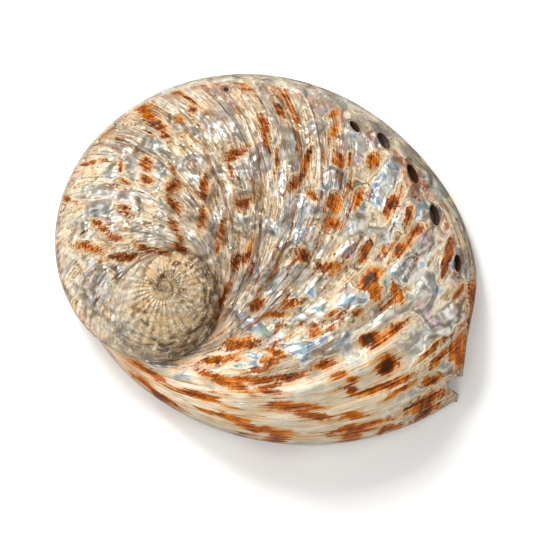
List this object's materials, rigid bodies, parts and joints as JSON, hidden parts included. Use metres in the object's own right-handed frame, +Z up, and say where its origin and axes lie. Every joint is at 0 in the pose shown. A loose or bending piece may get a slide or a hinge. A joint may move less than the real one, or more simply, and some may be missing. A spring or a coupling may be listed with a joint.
{
  "type": "abalone shell",
  "caption": "Polished ear-shaped abalone shell: a low spire, one very wide last whorl with a row of open breathing pores, and an open pearly hollow underneath.",
  "frame": {"origin": "middle of the bounding box, on the plane of the aperture rim that the shell lies on", "axes": "+X along the longer side, from the spire towards the pores; +Y away from the lip; +Z up, out of the back"},
  "size_m": [0.14, 0.1236, 0.0402],
  "materials": {
    "shell": "polished natural shell, cream and pearl grey with rust-orange blotches"
  },
  "bodies": {
    "root": {"shell": "shell"}
  },
  "joints": []
}
